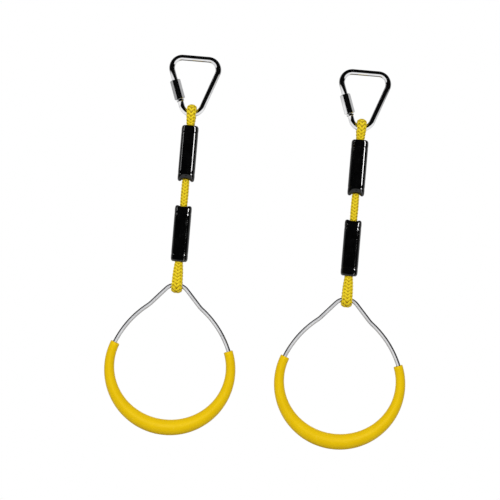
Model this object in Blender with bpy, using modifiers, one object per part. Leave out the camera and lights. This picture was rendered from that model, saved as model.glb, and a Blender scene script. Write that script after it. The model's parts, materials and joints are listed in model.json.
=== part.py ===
"""A pair of hanging gymnastics rings. Each ring hangs on a braided rope from a delta link with a screw gate.

Units are metres and +Z is up. The origin is on the underside of the left link's top bar, where the left set
hangs. Both rings lie in the XZ plane, and the right set stands along +X.
"""

import math

import bmesh
import bpy
from mathutils import Matrix, Vector

# Spacing of the two sets, and the gap left between solids that touch
SET_SPACING = 0.2077
GAP = 0.0003

# Delta link: one bent wire, with its screw gate in the leg at -X
LINK_WIRE_RADIUS = 0.0035
LINK_WIDTH = 0.0566
LINK_HEIGHT = 0.0676
LINK_TOP_BEND = 0.0125
LINK_BOTTOM_BEND = 0.0132
THREAD_DEPTH = 0.0003
STUB_CHAMFER = 0.0004
SHOULDER_RIM = 0.001
SHOULDER_LENGTH = 0.002
SHOULDER_HEIGHT = 0.0056
STEP_RUN = 0.0001
OPEN_THREAD = 0.001
NUT_LENGTH = 0.024
NUT_WALL = 0.00183
NUT_CHAMFER = 0.0012
NUT_GRIP_ON_STUB = 0.004
GATE_GAP = 0.008

# Rope, and how tightly the crimp ferrules hold it
ROPE_RADIUS = 0.0045
CRIMP_RATIO = 0.755
LEG_GAP = 0.0003
UPPER_EYE_REACH = 0.01425
LOWER_EYE_REACH = 0.02845
ROPE_BETWEEN_SLEEVES = 0.0293
FLEX_CLEARANCE = 0.00175
TAIL_LENGTH = 0.003

# Crimp ferrules, and the sleeves over them
FERRULE_LENGTH = 0.045
FERRULE_WALL = 0.0012
SLEEVE_LENGTH = 0.0685
SLEEVE_WALL = 0.0016
SLEEVE_CLEARANCE = 0.00035
SLEEVE_LIP = 0.0016
SLEEVE_ROUNDING = 0.00155
LIP_CLEARANCE = 0.0005

# Ring wire: a round bow, then on each side a wide shoulder, a reversed neck and the apex
RING_WIRE_RADIUS = 0.0025
RING_RADIUS = 0.075
BOW_END = math.radians(22)
SHOULDER_BEND = 0.115
SHOULDER_SLOPE = math.radians(38)
NECK_BEND = 0.035
NECK_SLOPE = math.radians(48)
APEX_BEND = 0.0175

# Grip: moulded round the bow, thin at its two ends and thickest at the bottom
GRIP_COVER = 0.005
GRIP_END_THICKNESS = 0.0113
GRIP_SWELL = 0.0077

# Fineness of the solids
BOW_STEPS = 40
SHOULDER_STEPS = 5
NECK_STEPS = 2
APEX_STEPS = 8
LINK_CORNER_STEPS = 8
LINK_BOTTOM_STEPS = 10
LOOP_STEPS = 12
BLEND_STEPS = 4
FERRULE_END_STEPS = 8
SOCKET_STEPS = 5
ROUNDING_STEPS = 3
BALL_TURNS = (25, 50, 70, 82)
ROPE_SIDES = 12
WIRE_SIDES = 10
RING_WIRE_SIDES = 8
GRIP_SIDES = 16
BORE_SIDES = 16
TURNED_SIDES = 24

# Sizes that follow from the ones above
PRESSED_RADIUS = CRIMP_RATIO * ROPE_RADIUS
PRESSED_OFFSET = PRESSED_RADIUS + LEG_GAP / 2
FERRULE_BORE = PRESSED_RADIUS + GAP
SLEEVE_BORE = PRESSED_OFFSET + FERRULE_BORE + FERRULE_WALL + SLEEVE_CLEARANCE
MOUTH_RADIUS = min(ROPE_RADIUS, (SLEEVE_BORE - GAP - LEG_GAP / 2) / 2)
MOUTH_OFFSET = MOUTH_RADIUS + LEG_GAP / 2

FLEX_DROP = ROPE_RADIUS + FLEX_CLEARANCE
LINK_BOTTOM_Z = LINK_WIRE_RADIUS - LINK_HEIGHT
UPPER_SLEEVE_TOP = LINK_BOTTOM_Z - UPPER_EYE_REACH
UPPER_SLEEVE_END = UPPER_SLEEVE_TOP - SLEEVE_LENGTH
LOWER_SLEEVE_TOP = UPPER_SLEEVE_END - ROPE_BETWEEN_SLEEVES
LOWER_SLEEVE_END = LOWER_SLEEVE_TOP - SLEEVE_LENGTH
APEX_Z = LOWER_SLEEVE_END - LOWER_EYE_REACH
SWAY_Z = UPPER_SLEEVE_END - FLEX_DROP
TWIST_Z = LOWER_SLEEVE_TOP + FLEX_DROP

THREAD_RADIUS = LINK_WIRE_RADIUS - THREAD_DEPTH
SHOULDER_RADIUS = LINK_WIRE_RADIUS + SHOULDER_RIM
NUT_BORE = LINK_WIRE_RADIUS + GAP
NUT_CORNER_RADIUS = (NUT_BORE + NUT_WALL) / math.cos(math.pi / 6)
NUT_BOTTOM = SHOULDER_HEIGHT + SHOULDER_LENGTH + OPEN_THREAD
STUB_TOP = NUT_BOTTOM + NUT_GRIP_ON_STUB
GRIP_OUTER_RADIUS = RING_RADIUS + GRIP_COVER


def material(name, colour, roughness, metallic=0.0):
    """One plain finish."""
    made = bpy.data.materials.new(name)
    made.use_nodes = True
    shader = made.node_tree.nodes["Principled BSDF"]
    shader.inputs["Base Color"].default_value = (*colour, 1.0)
    shader.inputs["Roughness"].default_value = roughness
    shader.inputs["Metallic"].default_value = metallic
    return made


def arc(centre, radius, start, end, steps):
    """Points (across, up) on an arc, both ends included; the angles run from the first axis."""
    turns = [start + (end - start) * i / steps for i in range(steps + 1)]
    return [(centre[0] + radius * math.cos(t), centre[1] + radius * math.sin(t)) for t in turns]


def flowing(points, steps):
    """A smooth curve through points of any size, with that many steps from one to the next."""
    count = len(points)
    before = [points[0], *points[:-1]]
    after = [*points[1:], points[-1]]
    slopes = [[(b - a) / 2 for a, b in zip(before[i], after[i])] for i in range(count)]
    path = []
    for i in range(count - 1):
        for step in range(steps):
            t = step / steps
            weights = (2 * t**3 - 3 * t**2 + 1, t**3 - 2 * t**2 + t, 3 * t**2 - 2 * t**3, t**3 - t**2)
            ends = zip(points[i], slopes[i], points[i + 1], slopes[i + 1])
            path.append(tuple(sum(w * v for w, v in zip(weights, four)) for four in ends))
    return [*path, points[-1]]


def tube(name, stations, sides, closed=False):
    """A mesh tube with round sections along stations of (x, y, z, radius)."""
    curve = bpy.data.curves.new(name, "CURVE")
    curve.dimensions = "3D"
    curve.twist_mode = "MINIMUM"
    curve.bevel_depth = 1.0
    curve.bevel_resolution = sides // 2 - 2
    curve.use_fill_caps = not closed
    spline = curve.splines.new("POLY")
    spline.points.add(len(stations) - 1)
    for point, (x, y, z, radius) in zip(spline.points, stations):
        point.co = (x, y, z, 1.0)
        point.radius = radius
    spline.use_cyclic_u = closed
    guide = bpy.data.objects.new(name + "_guide", curve)
    bpy.context.scene.collection.objects.link(guide)
    bpy.context.view_layer.update()
    mesh = bpy.data.meshes.new_from_object(guide.evaluated_get(bpy.context.evaluated_depsgraph_get()))
    bpy.data.objects.remove(guide)
    mesh.name = name
    shape = bmesh.new()
    shape.from_mesh(mesh)
    bmesh.ops.remove_doubles(shape, verts=shape.verts, dist=1e-6)
    bmesh.ops.recalc_face_normals(shape, faces=shape.faces)
    shape.to_mesh(mesh)
    shape.free()
    made = bpy.data.objects.new(name, mesh)
    bpy.context.scene.collection.objects.link(made)
    return made


def turned(name, profile):
    """A solid turned round Z from a profile of (radius, height) that runs down its outer side."""
    mesh = bpy.data.meshes.new(name)
    ring = [(i, i + 1) for i in range(len(profile) - 1)]
    if min(radius for radius, _ in profile) > 0:
        ring.append((len(profile) - 1, 0))
    mesh.from_pydata([(radius, 0.0, height) for radius, height in profile], ring, [])
    made = bpy.data.objects.new(name, mesh)
    bpy.context.scene.collection.objects.link(made)
    screw = made.modifiers.new("turn", "SCREW")
    screw.steps = screw.render_steps = TURNED_SIDES
    screw.use_merge_vertices = True
    screw.merge_threshold = 1e-6
    return made


def move_to(piece, collection):
    """Files a piece in one collection only."""
    for holder in list(piece.users_collection):
        holder.objects.unlink(piece)
    collection.objects.link(piece)


def cut(target, cutter, cutters, operation="DIFFERENCE"):
    """Leaves a Boolean on the target, and puts its cutter away."""
    move_to(cutter, cutters)
    cutter.hide_render = True
    cutter.display_type = "WIRE"
    boolean = target.modifiers.new(cutter.name, "BOOLEAN")
    boolean.operation = operation
    boolean.object = cutter
    boolean.solver = "EXACT"


def link_corners():
    """(leg slope from vertical, centres of the top and bottom bends at +X) of the link's centreline."""
    top = (LINK_WIDTH / 2 - LINK_TOP_BEND, LINK_WIRE_RADIUS - LINK_TOP_BEND)
    bottom = (0.0, LINK_BOTTOM_Z + LINK_BOTTOM_BEND)
    across, up = top[0] - bottom[0], top[1] - bottom[1]
    bends = LINK_BOTTOM_BEND - LINK_TOP_BEND
    slope = math.acos(bends / math.hypot(across, up)) - math.atan2(up, across)
    return slope, top, bottom


def gate_leg(height):
    """The point at this height along the gate leg, measured up the wire from the bottom bend."""
    slope, _, bottom = link_corners()
    start_x = -LINK_BOTTOM_BEND * math.cos(slope)
    start_z = bottom[1] - LINK_BOTTOM_BEND * math.sin(slope)
    return start_x - height * math.sin(slope), start_z + height * math.cos(slope)


def make_link(name):
    """The wire from the upper stub's end, over the top and round the bottom, to the lower stub's end."""
    slope, top, bottom = link_corners()
    left_top = (-top[0], top[1])
    body = LINK_WIRE_RADIUS
    upper_stub = STUB_TOP + GATE_GAP
    thread_top = NUT_BOTTOM + NUT_LENGTH - NUT_CHAMFER
    path = [
        (*gate_leg(upper_stub), THREAD_RADIUS - STUB_CHAMFER),
        (*gate_leg(upper_stub + STUB_CHAMFER), THREAD_RADIUS),
        (*gate_leg(thread_top - THREAD_DEPTH), THREAD_RADIUS),
        (*gate_leg(thread_top), body),
    ]
    bends = [
        *arc(left_top, LINK_TOP_BEND, math.pi + slope, math.pi / 2, LINK_CORNER_STEPS),
        *arc(top, LINK_TOP_BEND, math.pi / 2, -slope, LINK_CORNER_STEPS),
        *arc(bottom, LINK_BOTTOM_BEND, -slope, slope - math.pi, LINK_BOTTOM_STEPS),
    ]
    path += [(x, z, body) for x, z in bends]
    shoulder_top = SHOULDER_HEIGHT + SHOULDER_LENGTH
    path += [
        (*gate_leg(SHOULDER_HEIGHT - STEP_RUN), body),
        (*gate_leg(SHOULDER_HEIGHT), SHOULDER_RADIUS),
        (*gate_leg(shoulder_top), SHOULDER_RADIUS),
        (*gate_leg(shoulder_top + STEP_RUN), THREAD_RADIUS),
        (*gate_leg(STUB_TOP - STUB_CHAMFER), THREAD_RADIUS),
        (*gate_leg(STUB_TOP), THREAD_RADIUS - STUB_CHAMFER),
    ]
    return tube(name, [(x, 0.0, z, radius) for x, z, radius in path], WIRE_SIDES)


def make_nut(name, cutters):
    """A hexagonal nut with its corners turned off at both ends, bored to run on the wire."""
    slope, _, _ = link_corners()
    x, z = gate_leg(NUT_BOTTOM + NUT_LENGTH / 2)
    seat = Matrix.Translation((x, 0.0, z)) @ Matrix.Rotation(-slope, 4, "Y")
    bpy.ops.mesh.primitive_cylinder_add(vertices=6, radius=NUT_CORNER_RADIUS, depth=NUT_LENGTH)
    nut = bpy.context.object
    nut.name = nut.data.name = name
    nut.data.transform(Matrix.Rotation(math.pi / 6, 4, "Z"))
    half = NUT_LENGTH / 2
    corner = NUT_CORNER_RADIUS + GAP
    flat = NUT_CORNER_RADIUS * math.cos(math.pi / 6) - GAP
    turning = turned(
        name + "_turning",
        [
            (0.0, half),
            (flat, half),
            (corner, half - NUT_CHAMFER),
            (corner, NUT_CHAMFER - half),
            (flat, -half),
            (0.0, -half),
        ],
    )
    bpy.ops.mesh.primitive_cylinder_add(
        vertices=BORE_SIDES, radius=NUT_BORE / math.cos(math.pi / BORE_SIDES), depth=NUT_LENGTH * 2
    )
    bore = bpy.context.object
    bore.name = name + "_bore"
    cut(nut, turning, cutters, "INTERSECT")
    cut(nut, bore, cutters)
    for piece in (nut, turning, bore):
        piece.matrix_world = seat
    return nut


def eye_path(wire_radius, mouth):
    """Half an eye as (offset, distance, radius), from the far side of the loop to the ferrule's inner end.

    Distance runs from the wire's centre towards the sleeves. The leg leans in from the loop to the sleeve's
    mouth, and on to the ferrule, where it is pressed.
    """
    loop = wire_radius + GAP + ROPE_RADIUS
    lean = math.atan2(loop - MOUTH_OFFSET, mouth)
    ferrule = mouth + (SLEEVE_LENGTH - FERRULE_LENGTH) / 2
    turn = arc((0.0, 0.0), loop, -math.pi / 2, lean, LOOP_STEPS // 2)
    path = [(offset, distance, ROPE_RADIUS) for offset, distance in turn]
    leg = [path[-1], (MOUTH_OFFSET, mouth, MOUTH_RADIUS), (PRESSED_OFFSET, ferrule, PRESSED_RADIUS)]
    path += flowing(leg, BLEND_STEPS)[1:]
    path.append((PRESSED_OFFSET, ferrule + FERRULE_LENGTH, PRESSED_RADIUS))
    return path


def splice_path(wire_radius, mouth):
    """A whole eye as (y, distance, radius): its tail, the loop, and the leg that goes on in the middle."""
    half = eye_path(wire_radius, mouth)
    ferrule_end = half[-1][1]
    sleeve_end = mouth + SLEEVE_LENGTH
    tail = (-PRESSED_OFFSET, ferrule_end + TAIL_LENGTH, PRESSED_RADIUS)
    front = [(-offset, distance, radius) for offset, distance, radius in reversed(half[1:])]
    lip = (0.0, sleeve_end - SLEEVE_LIP, ROPE_RADIUS)
    onward = flowing([half[-1], lip, (0.0, sleeve_end, ROPE_RADIUS)], BLEND_STEPS)[1:]
    return [tail, *front, *half, *onward]


def make_rope_upper(name):
    """The end of the rope that passes over the link's bottom bend; it ends in a ball where the rope sways."""
    splice = splice_path(LINK_WIRE_RADIUS, UPPER_EYE_REACH)
    path = [(y, LINK_BOTTOM_Z - distance, radius) for y, distance, radius in splice]
    path.append((0.0, SWAY_Z, ROPE_RADIUS))
    for turn in BALL_TURNS:
        angle = math.radians(turn)
        path.append((0.0, SWAY_Z - ROPE_RADIUS * math.sin(angle), ROPE_RADIUS * math.cos(angle)))
    return tube(name, [(0.0, y, z, radius) for y, z, radius in path], ROPE_SIDES)


def make_rope_middle(name):
    """The single run between the sleeves: a socket over the sway ball, and a flat end where it twists."""
    socket = ROPE_RADIUS + GAP
    rim = math.asin(ROPE_RADIUS / socket)
    hollow = arc((0.0, SWAY_Z), socket, -math.pi / 2, -math.pi / 2 + rim, SOCKET_STEPS)
    end = TWIST_Z + GAP / 2
    return turned(name, [(0.0, hollow[0][1]), *hollow[1:], (ROPE_RADIUS, end), (0.0, end)])


def make_rope_lower(name):
    """The end of the rope that passes under the ring wire's apex."""
    splice = splice_path(RING_WIRE_RADIUS, LOWER_EYE_REACH)
    path = [(y, APEX_Z + distance, radius) for y, distance, radius in splice]
    path.append((0.0, TWIST_Z - GAP / 2, ROPE_RADIUS))
    return tube(name, [(0.0, y, z, radius) for y, z, radius in path], ROPE_SIDES)


def make_ferrule(name, middle):
    """An oval crimp ferrule round the two legs of an eye."""
    curve = bpy.data.curves.new(name, "CURVE")
    curve.dimensions = "2D"
    curve.fill_mode = "BOTH"
    curve.extrude = FERRULE_LENGTH / 2
    for radius in (FERRULE_BORE + FERRULE_WALL, FERRULE_BORE):
        far = arc((0.0, PRESSED_OFFSET), radius, 0.0, math.pi, FERRULE_END_STEPS)
        near = arc((0.0, -PRESSED_OFFSET), radius, math.pi, 2 * math.pi, FERRULE_END_STEPS)
        spline = curve.splines.new("POLY")
        spline.points.add(len(far + near) - 1)
        for point, (x, y) in zip(spline.points, far + near):
            point.co = (x, y, 0.0, 1.0)
        spline.use_cyclic_u = True
    made = bpy.data.objects.new(name, curve)
    bpy.context.scene.collection.objects.link(made)
    made.location.z = middle
    return made


def make_sleeve(name, middle, rope_end):
    """A moulded tube with rounded ends. Its rope_end, +1 up or -1 down, closes to a lip round the rope."""
    half = SLEEVE_LENGTH / 2
    outer = SLEEVE_BORE + SLEEVE_WALL
    lip = ROPE_RADIUS + LIP_CLEARANCE
    edge, shoulder = outer - SLEEVE_ROUNDING, half - SLEEVE_ROUNDING
    profile = [
        (lip, half),
        *arc((edge, shoulder), SLEEVE_ROUNDING, math.pi / 2, 0.0, ROUNDING_STEPS),
        *arc((edge, -shoulder), SLEEVE_ROUNDING, 0.0, -math.pi / 2, ROUNDING_STEPS),
        (SLEEVE_BORE, -half),
        (SLEEVE_BORE, half - SLEEVE_LIP),
        (lip, half - SLEEVE_LIP),
    ]
    made = turned(name, profile)
    if rope_end < 0:
        made.rotation_euler.x = math.pi
    made.location.z = middle
    return made


def ring_outline():
    """The wire's centreline at +X as (x, height over the bow's centre): bow, shoulder, neck and apex."""
    bow = arc((0.0, 0.0), RING_RADIUS, -math.pi / 2, BOW_END, BOW_STEPS // 2)
    # Headings are measured from level; the wire leaves the bow at this one
    heading = math.pi / 2 - BOW_END
    x, z = bow[-1]
    shoulder_centre = (x - SHOULDER_BEND * math.sin(heading), z - SHOULDER_BEND * math.cos(heading))
    shoulder = arc(shoulder_centre, SHOULDER_BEND, BOW_END, math.pi / 2 - SHOULDER_SLOPE, SHOULDER_STEPS)
    x, z = shoulder[-1]
    neck_centre = (x + NECK_BEND * math.sin(SHOULDER_SLOPE), z + NECK_BEND * math.cos(SHOULDER_SLOPE))
    neck = arc(neck_centre, NECK_BEND, 1.5 * math.pi - SHOULDER_SLOPE, 1.5 * math.pi - NECK_SLOPE, NECK_STEPS)
    x, z = neck[-1]
    run = x - APEX_BEND * math.sin(NECK_SLOPE)
    apex_centre = (0.0, z + run * math.tan(NECK_SLOPE) - APEX_BEND * math.cos(NECK_SLOPE))
    apex = arc(apex_centre, APEX_BEND, math.pi / 2 - NECK_SLOPE, math.pi / 2, APEX_STEPS // 2)
    return bow + shoulder[1:] + neck[1:] + apex


RING_CENTRE_Z = APEX_Z - ring_outline()[-1][1]


def ring_stations(radius):
    """The whole closed centreline as (x, y, z, radius)."""
    half = [(x, RING_CENTRE_Z + z) for x, z in ring_outline()]
    other = [(-x, z) for x, z in reversed(half[1:-1])]
    return [(x, 0.0, z, radius) for x, z in half + other]


def grip_thickness(turn):
    """The grip's thickness at this angle from the bottom."""
    half_span = math.pi / 2 + BOW_END
    return GRIP_END_THICKNESS + GRIP_SWELL * math.cos(math.pi / 2 * turn / half_span) ** 2


def make_grip(name, cutters):
    """A round section along the bow, bored for the wire. Its outer side is a circle, and it swells inwards."""
    half_span = math.pi / 2 + BOW_END
    stations = []
    for i in range(BOW_STEPS + 1):
        turn = half_span * (2 * i / BOW_STEPS - 1)
        radius = grip_thickness(turn) / 2
        middle = GRIP_OUTER_RADIUS - radius
        x, z = middle * math.sin(turn), RING_CENTRE_Z - middle * math.cos(turn)
        stations.append((x, 0.0, z, radius))
    grip = tube(name, stations, GRIP_SIDES)
    way = RING_WIRE_RADIUS + GAP
    cut(grip, tube(name + "_way", ring_stations(way), RING_WIRE_SIDES, closed=True), cutters)
    return grip


def axis_empty(name, point, parent):
    """An empty on a joint's axis, which the pieces that move there are parented to."""
    made = bpy.data.objects.new(name, None)
    made.empty_display_size = 0.01
    made.location = Vector(point)
    if parent:
        made.parent = parent
        made.location -= parent.matrix_world.translation
    bpy.context.scene.collection.objects.link(made)
    bpy.context.view_layer.update()
    return made


def place(piece, finish, parent, collection):
    """Gives a finished piece its material and shading, files it, and hangs it from its axis."""
    piece.data.materials.clear()
    piece.data.materials.append(finish)
    if piece.type == "MESH":
        piece.data.shade_smooth()
        piece.data.set_sharp_from_angle(angle=math.radians(40))
    move_to(piece, collection)
    piece.parent = parent
    base = parent["set_x"]
    piece.location += Vector((base, 0.0, 0.0)) - parent.matrix_world.translation


def build_set(side, x, finishes, collection, cutters):
    """One whole set, hung at x."""
    hang = axis_empty(side + "_hang_point", (x, 0.0, 0.0), None)
    nut_x, nut_z = gate_leg(NUT_BOTTOM + NUT_LENGTH / 2)
    gate = axis_empty(side + "_gate_axis", (x + nut_x, 0.0, nut_z), hang)
    swing = axis_empty(side + "_swing_axis", (x, 0.0, LINK_BOTTOM_Z), hang)
    sway = axis_empty(side + "_sway_axis", (x, 0.0, SWAY_Z), swing)
    twist = axis_empty(side + "_twist_axis", (x, 0.0, TWIST_Z), sway)
    tilt = axis_empty(side + "_tilt_axis", (x, 0.0, APEX_Z), twist)
    for empty in (hang, gate, swing, sway, twist, tilt):
        empty["set_x"] = x

    wire = tube(side + "_ring_wire", ring_stations(RING_WIRE_RADIUS), RING_WIRE_SIDES, closed=True)
    upper_middle = (UPPER_SLEEVE_TOP + UPPER_SLEEVE_END) / 2
    lower_middle = (LOWER_SLEEVE_TOP + LOWER_SLEEVE_END) / 2
    pieces = [
        (make_link(side + "_link"), "chrome", hang),
        (make_nut(side + "_link_nut", cutters), "chrome", gate),
        (make_rope_upper(side + "_rope_upper"), "rope", swing),
        (make_ferrule(side + "_ferrule_upper", upper_middle), "aluminium", swing),
        (make_sleeve(side + "_sleeve_upper", upper_middle, -1), "sleeve", swing),
        (make_rope_middle(side + "_rope_middle"), "rope", sway),
        (make_sleeve(side + "_sleeve_lower", lower_middle, 1), "sleeve", twist),
        (make_ferrule(side + "_ferrule_lower", lower_middle), "aluminium", twist),
        (make_rope_lower(side + "_rope_lower"), "rope", twist),
        (wire, "steel", tilt),
        (make_grip(side + "_grip", cutters), "grip", tilt),
    ]
    for piece, finish, parent in pieces:
        place(piece, finishes[finish], parent, collection)
    for cutter in cutters.objects:
        if cutter.name.startswith(side):
            cutter.location.x += x


def main():
    for old in list(bpy.data.objects):
        bpy.data.objects.remove(old)
    rings = bpy.data.collections.new("gymnastics_rings")
    cutters = bpy.data.collections.new("cutters")
    bpy.context.scene.collection.children.link(rings)
    bpy.context.scene.collection.children.link(cutters)
    finishes = {
        "chrome": material("polished_link", (0.62, 0.62, 0.64), 0.08, 1.0),
        "steel": material("ring_steel", (0.60, 0.60, 0.61), 0.2, 1.0),
        "aluminium": material("crimp_aluminium", (0.75, 0.76, 0.77), 0.4, 1.0),
        "rope": material("yellow_rope", (0.75, 0.50, 0.02), 0.75),
        "sleeve": material("black_sleeve", (0.012, 0.012, 0.013), 0.15),
        "grip": material("yellow_grip", (0.84, 0.54, 0.01), 0.35),
    }
    for side, x in (("left", 0.0), ("right", SET_SPACING)):
        build_set(side, x, finishes, rings, cutters)


main()
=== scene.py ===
"""A pair of gymnastics rings: each hangs on a braided rope with two black tubes, from a delta link."""

import json
import math

import bpy
import numpy as np
from mathutils import Matrix, Vector

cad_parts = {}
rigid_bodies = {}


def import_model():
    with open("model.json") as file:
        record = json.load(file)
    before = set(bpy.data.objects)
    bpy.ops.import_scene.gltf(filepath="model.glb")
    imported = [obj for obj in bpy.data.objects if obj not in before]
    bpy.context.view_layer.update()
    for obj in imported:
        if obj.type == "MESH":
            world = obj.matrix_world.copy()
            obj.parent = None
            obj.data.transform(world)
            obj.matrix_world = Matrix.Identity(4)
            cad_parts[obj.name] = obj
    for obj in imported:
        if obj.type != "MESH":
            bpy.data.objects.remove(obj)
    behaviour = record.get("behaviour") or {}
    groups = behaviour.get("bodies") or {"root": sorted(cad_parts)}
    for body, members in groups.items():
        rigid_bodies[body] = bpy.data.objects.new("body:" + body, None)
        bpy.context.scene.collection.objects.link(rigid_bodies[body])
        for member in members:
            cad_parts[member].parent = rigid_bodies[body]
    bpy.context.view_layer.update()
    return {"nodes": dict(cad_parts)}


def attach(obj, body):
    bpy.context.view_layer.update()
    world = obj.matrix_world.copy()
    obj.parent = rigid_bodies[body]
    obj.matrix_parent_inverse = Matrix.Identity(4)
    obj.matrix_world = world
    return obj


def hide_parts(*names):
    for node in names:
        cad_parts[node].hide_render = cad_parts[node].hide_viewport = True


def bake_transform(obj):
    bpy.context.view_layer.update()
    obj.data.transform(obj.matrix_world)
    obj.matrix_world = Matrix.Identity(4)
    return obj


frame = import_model()

# The two sets hang this far apart, and every size below is in metres
SET_SPACING = 0.2077

# Delta link, its screw gate and nut
LINK_WIRE_RADIUS = 0.0035
LINK_WIDTH = 0.0566
LINK_HEIGHT = 0.0676
LINK_TOP_BEND = 0.0125
LINK_BOTTOM_BEND = 0.0132
LINK_BOTTOM_Z = LINK_WIRE_RADIUS - LINK_HEIGHT
SHOULDER_HEIGHT = 0.0056
SHOULDER_LENGTH = 0.002
SHOULDER_RADIUS = 0.0045
THREAD_CREST = 0.0032
THREAD_ROOT = 0.00272
THREAD_PITCH = 0.001
NUT_LENGTH = 0.024
NUT_BOTTOM = 0.0086
NUT_FLAT = 0.00563
NUT_CHAMFER = 0.0012
NUT_BORE = 0.0038
STUB_TOP = 0.0126
GATE_GAP = 0.008
STUB_CHAMFER = 0.0004
COLLAR_EDGE = 0.0003
COLLAR_ROUNDING = 0.00035

# Rope, and the tubes over its pressed ends
ROPE_RADIUS = 0.0045
PRESSED_RADIUS = 0.0033975
PRESSED_OFFSET = 0.0035475
MOUTH_RADIUS = 0.0041725
MOUTH_OFFSET = 0.0043225
SLEEVE_LENGTH = 0.0685
SLEEVE_RADIUS = 0.010395
SLEEVE_BORE = 0.008795
FERRULE_LENGTH = 0.045
TAIL_LENGTH = 0.003
SLEEVE_LIP = 0.0016
UPPER_MOUTH = 0.01425
LOWER_MOUTH = 0.02845
UPPER_SLEEVE_TOP = -0.07835
UPPER_SLEEVE_END = -0.14685
LOWER_SLEEVE_TOP = -0.17615
LOWER_SLEEVE_END = -0.24465
APEX_Z = -0.2731
MEETING_Z = -0.161

# Ring wire and grip
RING_WIRE_RADIUS = 0.0025
RING_RADIUS = 0.075
RING_CENTRE_Z = -0.376732
BOW_END = math.radians(22)
HALF_SPAN = math.pi / 2 + BOW_END
SHOULDER_BEND = 0.115
SHOULDER_SLOPE = math.radians(38)
NECK_BEND = 0.035
NECK_SLOPE = math.radians(48)
APEX_BEND = 0.0175
GRIP_OUTER_RADIUS = 0.08
GRIP_END_THICKNESS = 0.0113
GRIP_SWELL = 0.0077
GRIP_BORE_DEPTH = 0.004
GRIP_FLARE = 0.0004
GRIP_FLAT = 0.0007
GRIP_ROUNDING = 0.0006

SIDES = (("left", 0.0), ("right", SET_SPACING))


# ---- camera


def add_camera():
    """A long lens straight in front, turned a little so that both sets lean to the right."""
    lens = bpy.data.cameras.new("camera")
    lens.lens = 120.0
    lens.sensor_width = 36.0
    camera = bpy.data.objects.new("camera", lens)
    camera.location = (0.0851, -2.031, -0.22325)
    camera.rotation_euler = (math.radians(90), math.radians(-4.85), 0.0)
    bpy.context.scene.collection.objects.link(camera)
    bpy.context.scene.camera = camera


# ---- working by hand


def set_down():
    """Leaves edit mode and lets go of everything."""
    if bpy.context.mode != "OBJECT":
        bpy.ops.object.mode_set(mode="OBJECT")
    bpy.ops.object.select_all(action="DESELECT")


def pick_up(piece):
    """Selects this piece only."""
    set_down()
    piece.select_set(True)
    bpy.context.view_layer.objects.active = piece


def tidy_mesh(piece, crease=35):
    """Merges doubles, turns the faces outwards and shades the piece."""
    pick_up(piece)
    bpy.ops.object.mode_set(mode="EDIT")
    bpy.ops.mesh.select_all(action="SELECT")
    bpy.ops.mesh.remove_doubles(threshold=1e-6)
    bpy.ops.mesh.normals_make_consistent(inside=False)
    bpy.ops.object.mode_set(mode="OBJECT")
    bpy.ops.object.shade_smooth_by_angle(angle=math.radians(crease))
    return piece


def apply_modifier(piece, kind, **settings):
    """Adds a modifier with these settings, and applies it."""
    pick_up(piece)
    bpy.ops.object.modifier_add(type=kind)
    modifier = piece.modifiers[-1]
    for key, value in settings.items():
        setattr(modifier, key, value)
    bpy.ops.object.modifier_apply(modifier=modifier.name)


def choose(piece, wanted):
    """In edit mode with points selectable, selects the points whose place passes the test."""
    bpy.ops.object.mode_set(mode="EDIT")
    bpy.ops.mesh.select_mode(type="VERT")
    bpy.ops.mesh.select_all(action="DESELECT")
    bpy.ops.object.mode_set(mode="OBJECT")
    for point in piece.data.vertices:
        point.select = wanted(point.co)
    bpy.ops.object.mode_set(mode="EDIT")


def place_at_origin(piece):
    """Puts the piece's place into its mesh."""
    pick_up(piece)
    bpy.ops.object.transform_apply(location=True, rotation=True, scale=True)


def join(first, *others):
    """Joins the others into the first piece."""
    pick_up(first)
    for other in others:
        other.select_set(True)
    bpy.ops.object.join()


class Sweep:
    """A section that is run along a line in the XZ plane, by extruding and spinning its last ring."""

    def __init__(self, name, middle, radius, sides, heading):
        set_down()
        turn = math.atan2(heading[0], heading[2])
        bpy.ops.mesh.primitive_circle_add(
            vertices=sides, radius=radius, location=middle, rotation=(0, turn, 0)
        )
        bpy.ops.object.transform_apply(location=True, rotation=True, scale=True)
        self.piece = bpy.context.object
        self.piece.name = self.piece.data.name = name
        self.middle = Vector(middle)
        self.radius = radius
        self.sides = sides
        bpy.ops.object.mode_set(mode="EDIT")
        bpy.ops.mesh.select_mode(type="VERT")
        bpy.ops.mesh.select_all(action="SELECT")

    def size(self, radius):
        """Scales the last ring to this radius."""
        ratio = radius / self.radius
        bpy.ops.transform.resize(value=(ratio, ratio, ratio), center_override=self.middle)
        self.radius = radius

    def run(self, middle, radius=None):
        """Extrudes the last ring straight to here, at a new radius if one is given."""
        step = Vector(middle) - self.middle
        bpy.ops.mesh.extrude_region_move(TRANSFORM_OT_translate={"value": step})
        self.middle = Vector(middle)
        if radius:
            self.size(radius)

    def bend(self, centre, angle, steps):
        """Turns round the centre, anticlockwise as seen from the front."""
        bpy.ops.mesh.spin(steps=steps, angle=angle, center=centre, axis=(0, 1, 0))
        arm = self.middle - Vector(centre)
        self.middle = Vector(centre) + Matrix.Rotation(-angle, 3, "Y") @ arm

    def shift(self, middle, radius):
        """Moves and sizes the last ring where it is."""
        bpy.ops.transform.translate(value=Vector(middle) - self.middle)
        self.middle = Vector(middle)
        self.size(radius)

    def end(self, crease=35):
        """Closes what is still open, and sets the piece down."""
        bpy.ops.mesh.select_all(action="SELECT")
        bpy.ops.mesh.remove_doubles(threshold=1e-6)
        bpy.ops.mesh.fill_holes(sides=self.sides)
        bpy.ops.object.mode_set(mode="OBJECT")
        return tidy_mesh(self.piece, crease)


# ---- rope


# Between the tubes the freed braid's radius grows by this much
RUN_BULGE = 0.0005

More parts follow.
